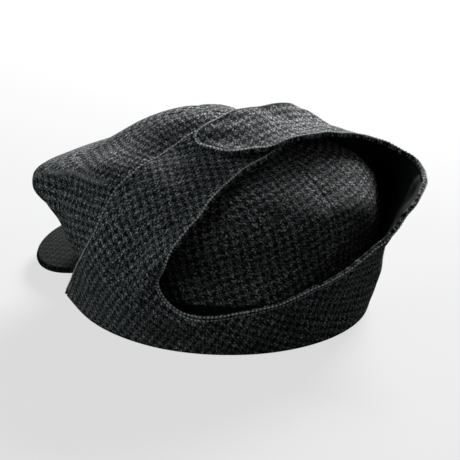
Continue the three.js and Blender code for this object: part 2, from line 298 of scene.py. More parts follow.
def crown_reach(angle, height):
    """Reach of the crown's face from the heart, for an angle in radians and a height in degrees."""
    angle, height = np.broadcast_arrays(np.asarray(angle, float), np.asarray(height, float))
    around = np.mod(np.degrees(angle) + 90, 360)
    folded = np.minimum(around, 360 - around) - 90
    foot = band_reach(angle)
    drop = BAND_HEIGHT - HEART[2]
    swell = np.exp(-((wrapped(np.degrees(angle) - SWELL_AT) / SWELL_SPREAD) ** 2))
    readings = [smooth(CROWN_AT, CROWN_REACH[:, k], folded) + swell * SWELL_REACH[k]
                for k in range(len(CROWN_HEIGHTS))]
    foot_height = np.degrees(np.arctan2(drop, foot))
    fixed = [np.full(angle.shape, float(h)) for h in (*CROWN_HEIGHTS, 90, 180 - CROWN_HEIGHTS[-1])]
    heights = np.stack([foot_height, *fixed], -1)
    top = np.full(angle.shape, APEX_REACH)
    reach = np.stack([np.hypot(foot, drop), *readings, top, readings[-1]], -1)
    below = foot / np.cos(np.radians(height))
    return np.where(height < foot_height, below, smooth(heights, reach, height))


def heading(way):
    """Angle in radians and height in degrees of directions from the heart."""
    length = np.linalg.norm(way, axis=-1)
    return np.arctan2(way[..., 1], way[..., 0]), np.degrees(np.arcsin(way[..., 2] / length))


def walk_lengths(points, axis=0):
    """Lengths walked over a grid of points along one axis, from 0."""
    steps = np.linalg.norm(np.diff(points, axis=axis), axis=-1)
    start = np.zeros_like(np.take(steps, [0], axis=axis))
    return np.concatenate([start, np.cumsum(steps, axis)], axis)


# %% [markdown]
# Cloth is never quite even. Instead of a random texture on the vertices, a few long sine waves
# with a fixed seed are added up. They are smooth, repeat nowhere on the hat, and give the same
# surface on every run.

# %% Soft waves
def soft_waves(points, seed, wavelength, count=9):
    """Smooth unevenness of about one unit over points in millimetres."""
    dice = np.random.default_rng(seed)
    total = np.zeros(points.shape[:-1])
    for _ in range(count):
        way = dice.normal(size=3)
        way *= 2 * math.pi / (np.linalg.norm(way) * wavelength * dice.uniform(0.7, 1.4))
        total += np.sin(points @ way + dice.uniform(0, 2 * math.pi))
    return total * math.sqrt(2 / count)


def ease(x, start, end):
    """0 before start and 1 after end, with a soft step between."""
    t = np.clip((x - start) / (end - start), 0, 1)
    return t * t * (3 - 2 * t)


# %% [markdown]
# Every piece of cloth here is a closed wall: a grid of points for its outer face, one for its inner
# face, and strips that join their edges. Each face corner also keeps its place on the flat cloth,
# in metres, as the UV map, so the weave runs the way the cloth was cut and keeps one scale.

# %% Closed cloth walls
MERGE_WITHIN = 1e-6


def cloth_wall(name, outer, inner, flat, closed_round=False, inner_slot=0, facing_from=0, painted_highlight=None):
    """A closed mesh from two grids of points in millimetres and the grid of flat places."""
    columns, rows = outer.shape[:2]
    half = columns * rows
    points = placed(np.concatenate([outer.reshape(-1, 3), inner.reshape(-1, 3)]))
    strips = columns if closed_round else columns - 1
    i, j = np.meshgrid(np.arange(strips), np.arange(rows - 1), indexing="ij")
    here, right = i * rows + j, ((i + 1) % columns) * rows + j
    outside = np.stack([here, right, right + 1, here + 1], -1).reshape(-1, 4)
    inside = outside[:, ::-1] + half
    foot_here, foot_right = here[:, 0], right[:, 0]
    head_here, head_right = here[:, -1] + 1, right[:, -1] + 1
    rims = [np.stack([foot_here + half, foot_right + half, foot_right, foot_here], -1),
            np.stack([head_here, head_right, head_right + half, head_here + half], -1)]
    if not closed_round:
        first, last = np.arange(rows - 1), np.arange(rows - 1) + (columns - 1) * rows
        rims += [np.stack([first + half, first, first + 1, first + 1 + half], -1),
                 np.stack([last, last + half, last + 1 + half, last + 1], -1)]
    faces = np.concatenate([outside, inside, *rims])
    mesh = bpy.data.meshes.new(name)
    mesh.from_pydata(points.tolist(), [], faces.tolist())
    uv = np.concatenate([flat.reshape(-1, 2)] * 2) * MM
    layer = mesh.uv_layers.new(name="cloth")
    corner = np.empty(len(mesh.loops), np.int32)
    mesh.loops.foreach_get("vertex_index", corner)
    layer.data.foreach_set("uv", uv[corner].astype(np.float32).ravel())
    if painted_highlight is not None:
        # painted highlight along the crown's fold ridge on the outer face; the same name carries painted
        # shade in the weave
        painted_light = mesh.attributes.new("painted_highlight", "FLOAT", "POINT")
        both_faces = np.concatenate([painted_highlight.ravel(), painted_highlight.ravel() * 0])
        painted_light.data.foreach_set("value", both_faces.astype(np.float32))
    if inner_slot:
        slots = np.zeros(len(faces), np.int32)
        facing = np.broadcast_to(j < rows - 1 - facing_from, j.shape).reshape(-1)
        slots[len(outside):2 * len(outside)] = np.where(facing, inner_slot, 0)
        mesh.polygons.foreach_set("material_index", slots)
    tidy = bmesh.new()
    tidy.from_mesh(mesh)
    bmesh.ops.remove_doubles(tidy, verts=tidy.verts, dist=MERGE_WITHIN)
    for face in tidy.faces:
        face.smooth = True
    tidy.to_mesh(mesh)
    tidy.free()
    print(name, len(mesh.polygons), "faces")
    return in_scene(name, mesh)


def turned(flat, degrees):
    """Flat places turned on the cloth, so that the weave leans the other way."""
    c, s = math.cos(math.radians(degrees)), math.sin(math.radians(degrees))
    return flat @ np.array([[c, s], [-s, c]])


# %% [markdown]
# A crown gore is a long leaf of cloth from the headband to the top. Eight of them are sewn edge to
# edge, and each edge rolls in to the seam, with small puckers where the thread pulls. The gores
# are rows of points swept from seam to seam. One pinched fold runs back from the crown's
# front corner, where the soft cloth has creased over itself.

# %% Relief of the crown
SEAM_ROLL = 0.9
SEAM_PULL = 0.5
SEAM_PULL_WIDTH = 7
PUCKER = 0.25
PUCKER_LENGTH = 11
CROWN_WAVE = 0.9
CROWN_WAVE_LENGTH = 55
CROWN_WAVE_SINK = 0.7
CROWN_WAVE_FROM = (-18, 0)  # the waves rise from nothing between these heights, in degrees
CROWN_SEED = 3
FOLD_HEIGHT = 2.2
FOLD_WIDTH = 1.7
FOLD_SHARPNESS = 1.4
FOLD_HOLLOW = 3.2
HOLLOW_BELOW = 11
HOLLOW_WIDTH = 8
FOLD_STARTS = (-44, -38)
FOLD_ENDS = (-3, 4)
FOLD_SWAY = 0.25  # share of the fold's strength that comes and goes along it
FOLD_SWAYS = 24
FOLD_AT = [-41, -37.6, -29.1, -23.8, -16.3, -4, 3.4, 8]
FOLD_RISE = [7.5, 11.2, 15.3, 17.4, 19.1, 20.7, 21.6, 21.8]
LOBE_FILL = 4  # the lobe at the front corner is full right down to its lower crease
LOBE_AT = (-42, 1)
LOBE_SPREAD = (13, 6)


def fold_place(angle, height):
    """Millimetres above the pinched fold, and how strong the fold is there."""
    around = wrapped(np.degrees(angle))
    reach = crown_reach(angle, height)
    rise = smooth(FOLD_AT, FOLD_RISE, around)
    slope = (smooth(FOLD_AT, FOLD_RISE, around + 1) - smooth(FOLD_AT, FOLD_RISE, around - 1)) / 2
    above = np.radians(height - rise) * reach / np.sqrt(1 + slope**2)
    along = ease(around, *FOLD_STARTS) * (1 - ease(around, *FOLD_ENDS))
    return above, along * (1 - FOLD_SWAY + FOLD_SWAY * np.cos(np.radians(around * FOLD_SWAYS)))


def fold_relief(angle, height):
    """The fold is a narrow ridge, and the side of the crown is hollow under it, in millimetres."""
    above, strength = fold_place(angle, height)
    ridge = FOLD_HEIGHT * np.exp(-np.abs(above / FOLD_WIDTH) ** FOLD_SHARPNESS)
    hollow = FOLD_HOLLOW * np.exp(-((above + HOLLOW_BELOW) / HOLLOW_WIDTH) ** 2)
    return ridge * strength - hollow * ease(strength, 0, 0.4)


def crown_relief(way):
    """How far the crown's cloth stands off its plain form, in millimetres."""
    angle, height = heading(way)
    plain = way * crown_reach(angle, height)[..., None] + HEART
    waves = CROWN_WAVE * (soft_waves(plain, CROWN_SEED, CROWN_WAVE_LENGTH) - CROWN_WAVE_SINK)
    around = wrapped(np.degrees(angle))
    off = ((around - LOBE_AT[0]) / LOBE_SPREAD[0]) ** 2 + ((height - LOBE_AT[1]) / LOBE_SPREAD[1]) ** 2
    waves *= ease(height, *CROWN_WAVE_FROM)
    return waves + fold_relief(angle, height) + LOBE_FILL * np.exp(-off)


# %% Crown gores
GORE_COLUMNS = 52
GORE_ROWS = 104
TIP_HEIGHT = 89.9
GORE_CROWDING = 0.4  # the columns stand closer together near the seams
PUCKER_SEED = 20
PAINTED_HIGHLIGHT_ABOVE = 0.4  # a painted highlight: the fold's ridge is painted paler where the light catches it
PAINTED_HIGHLIGHT_WIDTH = 1.1
GORE_GRAIN = [8, -6, -18, -19, -4, 12, -8, 10]  # degrees that each gore was cut off the straight grain


def gore_ways(number, across, rise):
    """Directions from the heart over one gore; across runs -1 to 1 and rise 0 to 1."""
    width = 2 * math.pi / GORES
    middle = math.radians(FIRST_SEAM) + (number + 0.5) * width
    angle = middle + across * width / 2
    foot = np.degrees(np.arctan2(BAND_HEIGHT - HEART[2], band_reach(angle)))
    height = foot + (TIP_HEIGHT - foot) * rise
    lean = ((height - foot) / (90 - foot)) ** LEAN_POWER
    level, up = np.cos(np.radians(height)), np.sin(np.radians(height))
    way = np.stack([level * np.cos(angle), level * np.sin(angle), up], -1) + lean[..., None] * TOP_LEAN
    return way / np.linalg.norm(way, axis=-1, keepdims=True)


def gore(number):
    """One leaf of the crown as a closed wall of cloth."""
    t = np.linspace(-1, 1, GORE_COLUMNS + 1)
    across = (t * (1 + GORE_CROWDING * (1 - t**2)))[:, None]
    rise = np.linspace(0, 1, GORE_ROWS + 1)[None, :]
    across, rise = np.broadcast_arrays(across, rise)
    way = gore_ways(number, across, rise)
    angle, height = heading(way)
    reach = crown_reach(angle, height)
    plain = way * reach[..., None] + HEART
    walked = walk_lengths(plain)
    to_seam = np.minimum(walked, walked[-1] - walked)
    climb = np.broadcast_to(walk_lengths(plain[GORE_COLUMNS // 2]), to_seam.shape)
    roll = np.clip(to_seam / SEAM_ROLL, 0, 1)
    seam = SEAM_ROLL * (1 - np.sqrt(1 - (1 - roll) ** 2))
    up_seam = np.stack([climb, climb * 0, climb * 0 + number], -1)
    wave = 1 + PUCKER / SEAM_PULL * soft_waves(up_seam, PUCKER_SEED + number, PUCKER_LENGTH)
    pull = SEAM_PULL * wave * np.exp(-((to_seam / SEAM_PULL_WIDTH) ** 2))
    narrow = np.clip(walked[-1] / (4 * SEAM_ROLL), 0, 1)
    relief = crown_relief(way)
    outer = plain + way * (relief - (seam + pull) * narrow)[..., None]
    inner = plain + way * (np.minimum(relief, 0) - CLOTH)[..., None]
    flat = np.stack([walked - walked[-1] / 2, climb], -1)
    above, strength = fold_place(angle, height)
    # painted highlight: a pale line along the fold's ridge, where the light catches it
    painted_highlight = strength * np.exp(-(((above - PAINTED_HIGHLIGHT_ABOVE) / PAINTED_HIGHLIGHT_WIDTH) ** 2))
    flat = turned(flat, GORE_GRAIN[number])
    return cloth_wall(f"crown_gore_{number + 1}", outer, inner, flat, painted_highlight=painted_highlight)


crown_gores = [gore(number) for number in range(GORES)]

# %% [markdown]
# The ear flap is one wide strip. It is modelled by its middle surface, placed by the flap table and
# pushed off the crown where the two would touch. To give it a sewn edge, each point needs to know
# how far it lies from the border of the cloth, measured along the cloth. The two top corners are
# rounded by cutting the grid short near its ends.

# %% Middle of the flap
PUSH_SOFTNESS = 1
PUSH_LIMIT = 30
LOW_CLEARANCE = CLOTH / 2 + GAP
LOOK_ALONG = 0.3  # the flap's slope is read over these small steps along and up
LOOK_UP = 0.008


def kept_off_crown(points, clear):
    """Points moved out along their line from the heart until they clear the crown."""
    arm = points - HEART
    length = np.linalg.norm(arm, axis=-1)
    angle, height = heading(arm)
    needed = crown_reach(angle, height) + clear
    over = np.clip((length - needed) / PUSH_SOFTNESS, -PUSH_LIMIT, PUSH_LIMIT)
    reach = needed + PUSH_SOFTNESS * np.log1p(np.exp(over))
    return arm * (np.maximum(reach, length) / length)[..., None] + HEART


def flap_middle(at, share):
    """Middle of the flap's cloth, by the direction along its hem and the share of the way up."""
    at, share = np.broadcast_arrays(np.asarray(at, float), np.asarray(share, float))
    row = [smooth(FLAP_AT, FLAP_ROWS[:, k], at) for k in range(FLAP_ROWS.shape[1])]
    angle = np.radians(at)
    hem = [(HALF_WIDTH + row[0]) * np.cos(angle), (HALF_LENGTH + row[0]) * np.sin(angle),
           GAP + CLOTH / 2 + row[1]]
    thirds = [0, 1 / 3, 2 / 3, 1]
    stations = [np.stack([hem[axis], row[2 + axis], row[5 + axis], row[8 + axis]], -1) for axis in range(3)]
    point = np.stack([smooth(thirds, station, share) for station in stations], -1)
    clear = LOW_CLEARANCE + (row[11] - LOW_CLEARANCE) * np.sqrt(share)
    return kept_off_crown(point, clear)


def flap_normal(at, share):
    """The way out of the flap's outer face."""
    along = flap_middle(at + LOOK_ALONG, share) - flap_middle(at - LOOK_ALONG, share)
    higher, lower = np.minimum(share + LOOK_UP, 1), np.maximum(share - LOOK_UP, 0)
    up = flap_middle(at, higher) - flap_middle(at, lower)
    normal = np.cross(along, up)
    return normal / np.linalg.norm(normal, axis=-1, keepdims=True)


# %% Walked lengths over the flap
CORNER_RADIUS = 9
# distances of the outermost rows and columns from the border
END_ROWS = [0, 0.3, 0.6, 0.9, 1.3, 1.7, 2.2, 2.7, 3.1, 3.5, 3.9, 4.4, 5, 5.8]
FLAP_BODY_ROWS = 60
FLAP_STEP = 0.62  # degrees along the hem
FINE_END = 3  # degrees at each end with columns twice as close
SCAN_UP = 241
SCAN_ALONG = 509
shares = np.linspace(0, 1, SCAN_UP)
first_at, last_at = FLAP_AT[0], FLAP_AT[-1]
scan_at = np.linspace(first_at, last_at, SCAN_ALONG)
scan = flap_middle(scan_at[:, None], shares[None, :])
along_rows = walk_lengths(scan)
rim_walk = along_rows[:, -1]
front_edges = [round(float(walk_lengths(scan[k])[-1])) for k in (0, -1)]
print("rim length mm", round(rim_walk[-1]), "front edges", front_edges)


def column_walk(at):
    """Lengths walked up the cloth from the hem at each share, for an array of directions."""
    return walk_lengths(flap_middle(np.asarray(at)[:, None], shares[None, :]), axis=1)


def corner_cut(from_end):
    """How much shorter the cloth is at a distance from its front edge."""
    left = np.clip(1 - from_end / CORNER_RADIUS, 0, 1)
    return CORNER_RADIUS * (1 - np.sqrt(1 - left**2))


def to_border(from_end, from_rim):
    """Distance to the rounded border, from those to the straight front edge and the rim."""
    a, b = CORNER_RADIUS - from_end, CORNER_RADIUS - from_rim
    return np.where((a > 0) & (b > 0), CORNER_RADIUS - np.hypot(a, b), np.minimum(from_end, from_rim))


# %% [markdown]
# The edge of the flap is turned in and topstitched. Outside the stitches the cloth stands up in a
# narrow bead, the thread sinks in a groove, and the cloth swells again behind it. This is a curve
# of thickness against the distance from the border, which both faces share.

# %% Flap of the edge-stitched cloth
STITCH_INSET = 3.1
EDGE_INSET = 0.7
FLAP_HALF = 1.25
EDGE_ROUND = 1.3
BEAD = 0.35
BEAD_INSET = 1.7
BEAD_WIDTH = 1.1
GROOVE = 0.75
GROOVE_WIDTH = 0.8
FLAP_WAVE = 0.55
FLAP_WAVE_LENGTH = 42
FLAP_WAVE_OUT = 0.4
FLAP_WAVE_FROM = 0.25  # share of the way up where the waves are full
FINE_WAVE = 0.5
FINE_WAVES = 2.5
FLAP_SEED = 7
FACING_FROM = 7  # rows next to the rim where the tweed is turned in over the facing


def half_thickness(border):
    """Half the cloth's thickness at a distance from its border."""
    edge = np.clip(border / EDGE_ROUND, 0, 1)
    rounded = np.sqrt(1 - (1 - edge) ** 2)
    bead = BEAD * np.exp(-(((border - BEAD_INSET) / BEAD_WIDTH) ** 2))
    groove = GROOVE * np.exp(-(((border - STITCH_INSET) / GROOVE_WIDTH) ** 2))
    return (FLAP_HALF + bead - groove) * rounded


def flap_wave(points, share):
    """Slow unevenness of the flap, none where it is sewn to the band."""
    waves = soft_waves(points, FLAP_SEED, FLAP_WAVE_LENGTH)
    waves += FINE_WAVE * soft_waves(points, FLAP_SEED + 1, FLAP_WAVE_LENGTH / FINE_WAVES)
    return FLAP_WAVE * (waves + FLAP_WAVE_OUT) * ease(share, 0, FLAP_WAVE_FROM)


def flap_columns():
    """Directions along the hem, close together at both ends."""
    per_mm = (scan_at[8] - scan_at[0]) / rim_walk[8]
    near = np.array(END_ROWS) * per_mm
    fine = np.arange(near[-1] + FLAP_STEP / 2, near[-1] + FINE_END, FLAP_STEP / 2)
    near = np.concatenate([near, fine])
    body = np.arange(first_at + near[-1] + FLAP_STEP, last_at - near[-1] - FLAP_STEP / 2, FLAP_STEP)
    return np.concatenate([first_at + near, body, last_at - near[::-1]])


flap_at = flap_columns()
walk = column_walk(flap_at)
rim_from_first = np.interp(flap_at, scan_at, rim_walk)
rim_from_end = np.minimum(rim_from_first, rim_walk[-1] - rim_from_first)
free_length = walk[:, -1] - corner_cut(rim_from_end)
body_rows = np.linspace(0, 1, FLAP_BODY_ROWS + 1)[None, :-1]
up_body = body_rows * (free_length - END_ROWS[-1])[:, None]
up_edge = free_length[:, None] - np.array(END_ROWS[::-1])[None, :]
up_cloth = np.concatenate([up_body, up_edge], 1)
flap_share = np.stack([np.interp(up_cloth[k], walk[k], shares) for k in range(len(flap_at))])
flap_grid = flap_middle(flap_at[:, None], flap_share)
row_walk = walk_lengths(flap_grid)
from_end = np.minimum(row_walk, row_walk[-1] - row_walk)
from_rim = walk[:, -1][:, None] - up_cloth
border = np.maximum(to_border(from_end, from_rim), 0)
flap_out = flap_normal(flap_at[:, None], flap_share)
flap_lift = flap_wave(flap_grid, flap_share)[..., None] * flap_out
thick = half_thickness(border)[..., None] * flap_out
column_lengths = walk[:, -1]
print("flap grid", flap_grid.shape[:2], "columns up", round(float(column_lengths.min())),
      "to", round(float(column_lengths.max())), "mm")

# %% [markdown]
# For the weave to run true, the flap has to know where each point lay when the cloth was flat. An
# artist would unwrap the surface, and so does this script: a bare copy of the grid is unwrapped
# with the least stretch, scaled back to real millimetres, and its places are read off.

# %% Lay the flap flat
def laid_flat(grid):
    """Flat places in millimetres for a grid of points, by unwrapping a copy of it."""
    columns, rows = grid.shape[:2]
    i, j = np.meshgrid(np.arange(columns - 1), np.arange(rows - 1), indexing="ij")
    here = i * rows + j
    faces = np.stack([here, here + rows, here + rows + 1, here + 1], -1).reshape(-1, 4)
    mesh = bpy.data.meshes.new("flat_pattern")
    mesh.from_pydata((grid.reshape(-1, 3) * MM).tolist(), [], faces.tolist())
    pattern = in_scene("flat_pattern", mesh)
    bpy.context.view_layer.objects.active = pattern
    bpy.ops.object.mode_set(mode="EDIT")
    bpy.ops.mesh.select_all(action="SELECT")
    bpy.ops.uv.unwrap(method="CONFORMAL", margin=0)
    bpy.ops.object.mode_set(mode="OBJECT")
    corner = np.empty(len(mesh.loops), np.int32)
    mesh.loops.foreach_get("vertex_index", corner)
    uv = np.empty(len(mesh.loops) * 2, np.float32)
    mesh.uv_layers[0].data.foreach_get("uv", uv)
    flat = np.zeros((columns * rows, 2))
    flat[corner] = uv.reshape(-1, 2)
    flat = flat.reshape(columns, rows, 2)
    bpy.data.objects.remove(pattern)
    bpy.data.meshes.remove(mesh)
    sides = np.diff(flat, axis=0)[:, :-1], np.diff(flat, axis=1)[:-1]
    flat_area = sides[0][..., 0] * sides[1][..., 1] - sides[0][..., 1] * sides[1][..., 0]
    real = np.linalg.norm(np.cross(np.diff(grid, axis=0)[:, :-1], np.diff(grid, axis=1)[:-1]), axis=-1)
    scale = math.sqrt(real.sum() / abs(flat_area.sum()))
    ratio = np.sqrt(np.abs(flat_area) * scale**2 / np.maximum(real, 1e-9))
    print("flat cloth scale, 5 to 95 percent", np.percentile(ratio, [5, 50, 95]).round(2))
    if flat_area.sum() < 0:
        flat = flat * [-1, 1]
    return flat * scale, real.sum()


flap_flat, flap_area = laid_flat(flap_grid)
middle_column = len(flap_at) // 2
hem_way = flap_flat[middle_column + 4, 0] - flap_flat[middle_column - 4, 0]
flap_flat = turned(flap_flat, -math.degrees(math.atan2(hem_way[1], hem_way[0])))

FLAP_GRAIN = 20
ear_flap = cloth_wall("ear_flap_cloth", flap_grid + flap_lift + thick, flap_grid + flap_lift - thick,
                      turned(flap_flat, FLAP_GRAIN), inner_slot=1, facing_from=FACING_FROM)

# %% [markdown]
# The stitches along the flap's border are all alike and follow a line, which is work for Geometry
# Nodes. The line is a curve drawn in the groove. The tree steps along it, puts one short thread
# on each step, turned along the line, and makes them all real. The result is kept as a
# plain mesh.

# %% Line of the topstitching
FRONT_POINTS = 60
RIM_POINTS = 400
BEND_POINTS = 9
STITCH_FOOT = 6  # the stitching ends this far above the hem


def flap_place(from_first, from_rim_mm):
    """Direction and share of a point, by its walk along the rim and down from it."""
    at = np.interp(from_first, rim_walk, scan_at)
    for _ in range(3):
        walked = column_walk(at)
        share = np.array([np.interp(w[-1] - d, w, shares) for w, d in zip(walked, from_rim_mm)])
        level = np.clip(np.round(share * (len(shares) - 1)).astype(int), 0, len(shares) - 1)
        end = along_rows[-1, level]
        near_first = from_first < rim_walk[-1] / 2
        want = np.where(near_first, from_first, end - (rim_walk[-1] - from_first))
        here = np.array([np.interp(w, along_rows[:, k], scan_at) for w, k in zip(want, level)])
        from_either = np.minimum(from_first, rim_walk[-1] - from_first)
        blend = ease(from_either, CORNER_RADIUS * 2, CORNER_RADIUS * 4)
        at = here * (1 - blend) + np.interp(from_first, rim_walk, scan_at) * blend
    return at, share


def stitch_line(inset):
    """Points of one stitched line: up one front edge, along the rim and down the other."""
    bend = np.linspace(0, math.pi / 2, BEND_POINTS)
    tight = CORNER_RADIUS - inset
    up = np.linspace(walk[0, -1] - STITCH_FOOT, CORNER_RADIUS, FRONT_POINTS)
    span = np.linspace(CORNER_RADIUS, rim_walk[-1] - CORNER_RADIUS, RIM_POINTS)[1:-1]
    down = np.linspace(CORNER_RADIUS, walk[-1, -1] - STITCH_FOOT, FRONT_POINTS)
    from_first = [np.full(len(up), inset), CORNER_RADIUS - tight * np.cos(bend), span,
                  rim_walk[-1] - CORNER_RADIUS + tight * np.sin(bend),
                  np.full(len(down), rim_walk[-1] - inset)]
    from_rim_mm = [up, CORNER_RADIUS - tight * np.sin(bend), np.full(len(span), inset),
                   CORNER_RADIUS - tight * np.cos(bend), down]
    at, share = flap_place(np.concatenate(from_first), np.concatenate(from_rim_mm))
    middle = flap_middle(at, share)
    lift = half_thickness(np.full(len(at), inset)) + flap_wave(middle, share)
    return middle + flap_normal(at, share) * lift[:, None]


def drawn_line(name, lines):
    """A curve object with one poly line through each list of points, in millimetres."""
    data = bpy.data.curves.new(name, "CURVE")
    data.dimensions = "3D"
    for points in lines:
        spline = data.splines.new("POLY")
        spline.points.add(len(points) - 1)
        for point, place in zip(spline.points, placed(points)):
            point.co = (*place, 1)
    return in_scene(name, data)


# %% Stitch tree
def stitch_tree():
    """Geometry Nodes that lay short threads along a curve."""
    tree = bpy.data.node_groups.new("row_of_stitches", "GeometryNodeTree")
    tree.interface.new_socket("Geometry", in_out="INPUT", socket_type="NodeSocketGeometry")
    for title, value in (("Stitch pitch", 0.0024), ("Stitch length", 0.0018), ("Thread thickness", 0.0012)):
        socket = tree.interface.new_socket(title, in_out="INPUT", socket_type="NodeSocketFloat")
        socket.default_value = value
    tree.interface.new_socket("Thread", in_out="INPUT", socket_type="NodeSocketMaterial")
    tree.interface.new_socket("Geometry", in_out="OUTPUT", socket_type="NodeSocketGeometry")
    add, link = tree.nodes.new, tree.links.new
    given, result = add("NodeGroupInput"), add("NodeGroupOutput")
    steps = add("GeometryNodeResampleCurve")
    steps.mode = "LENGTH"
    link(given.outputs["Geometry"], steps.inputs["Curve"])
    link(given.outputs["Stitch pitch"], steps.inputs["Length"])
    bead = add("GeometryNodeMeshUVSphere")
    bead.inputs["Segments"].default_value = 8
    bead.inputs["Rings"].default_value = 6
    bead.inputs["Radius"].default_value = 0.5
    tangent = add("GeometryNodeInputTangent")
    aim = add("FunctionNodeAlignEulerToVector")
    aim.axis = "Z"
    link(tangent.outputs[0], aim.inputs["Vector"])
    size = add("ShaderNodeCombineXYZ")
    link(given.outputs["Thread thickness"], size.inputs["X"])
    link(given.outputs["Thread thickness"], size.inputs["Y"])
    link(given.outputs["Stitch length"], size.inputs["Z"])
    lay = add("GeometryNodeInstanceOnPoints")
    link(steps.outputs["Curve"], lay.inputs["Points"])
    link(bead.outputs["Mesh"], lay.inputs["Instance"])
    link(aim.outputs["Rotation"], lay.inputs["Rotation"])
    link(size.outputs[0], lay.inputs["Scale"])
    real = add("GeometryNodeRealizeInstances")
    link(lay.outputs["Instances"], real.inputs["Geometry"])
    smooth_faces = add("GeometryNodeSetShadeSmooth")
    link(real.outputs["Geometry"], smooth_faces.inputs["Geometry"])
    finish = add("GeometryNodeSetMaterial")
    link(smooth_faces.outputs["Geometry"], finish.inputs["Geometry"])
    link(given.outputs["Thread"], finish.inputs["Material"])
    link(finish.outputs["Geometry"], result.inputs["Geometry"])
    return tree


def stitched(name, line, tree, material):
    """A plain mesh of the stitches that the tree lays along a line."""
    modifier = line.modifiers.new("stitches", "NODES")
    modifier.node_group = tree
    thread = next(item for item in tree.interface.items_tree if item.name == "Thread")
    modifier[thread.identifier] = material
    depsgraph = bpy.context.evaluated_depsgraph_get()
    mesh = bpy.data.meshes.new_from_object(line.evaluated_get(depsgraph))
    bpy.data.objects.remove(line)
    print(name, len(mesh.polygons), "faces")
    return in_scene(name, mesh)


# %% [markdown]
# The tweed is a small broken check: four dark threads and four light ones, both ways, woven over
# two and under two. Where dark crosses light the twill breaks the square into little teeth. The
# node group counts threads on the flat cloth, asks which thread lies on top, and gives its
# colour, a height for the bump, and pale flecks. The colour is darkened in the gaps between the
# threads, as painted shade. The flecks are stray pale wool and also painted glints on the yarn.
# Yarn is spun from mixed wool, so noise along each thread changes its shade.

# %% Helpers for shader nodes
def feed(tree, sockets, values):
    """Links each output among the values to its socket, and sets the plain values."""
    for socket, value in zip(sockets, values):
        if isinstance(value, bpy.types.NodeSocket):
            tree.links.new(value, socket)
        else:
            socket.default_value = value


def calc(tree, operation, *values):
    """A Math node's output."""
    node = tree.nodes.new("ShaderNodeMath")
    node.operation = operation
    feed(tree, node.inputs, values)
    return node.outputs[0]


def noise(tree, vector, scale, detail=2, roughness=0.5):
    """A Noise Texture's even output."""
    node = tree.nodes.new("ShaderNodeTexNoise")
    sockets = [node.inputs[title] for title in ("Vector", "Scale", "Detail", "Roughness")]
    feed(tree, sockets, (vector, scale, detail, roughness))
    return node.outputs["Fac"]


def joined(tree, x, y, z=0):
    """A Combine XYZ node's output."""
    node = tree.nodes.new("ShaderNodeCombineXYZ")
    feed(tree, node.inputs, (x, y, z))
    return node.outputs[0]


def colour_mix(tree, factor, first, second):
    """A colour between two, by a factor."""
    node = tree.nodes.new("ShaderNodeMix")
    node.data_type = "RGBA"
    feed(tree, (node.inputs[0], node.inputs[6], node.inputs[7]), (factor, first, second))
    return node.outputs[2]


# %% Tweed weave group
CHECK_THREADS = 8  # four dark and four light
TWILL_THREADS = 4  # over two and under two
RAGGED_SCALE = 900
YARN_DRIFT = 0.4  # how fast a yarn's shade changes along it, against the thread pitch
WARP_STEP = 7.31  # odd steps through the noise, so that neighbouring yarns differ
WEFT_STEP = 5.17
WEFT_LAYER = 9
YARN_SWING = 1.5
CLOUD_SCALE = 120
CLOUD_SWING = 0.3
SPUN_BASE = 12
# painted shade: the colour darkens in the gaps between threads
THREAD_GAP_SHADE = (1.1, 0.1)
DARK_THREAD = 0.05
# specks of stray pale wool that also stand in for painted glints of light on the yarn
FLECK_AND_GLINT_SCALE = 900
FLECK_AND_GLINT_LIMIT = 1.12
FUZZ_SCALE = 1500


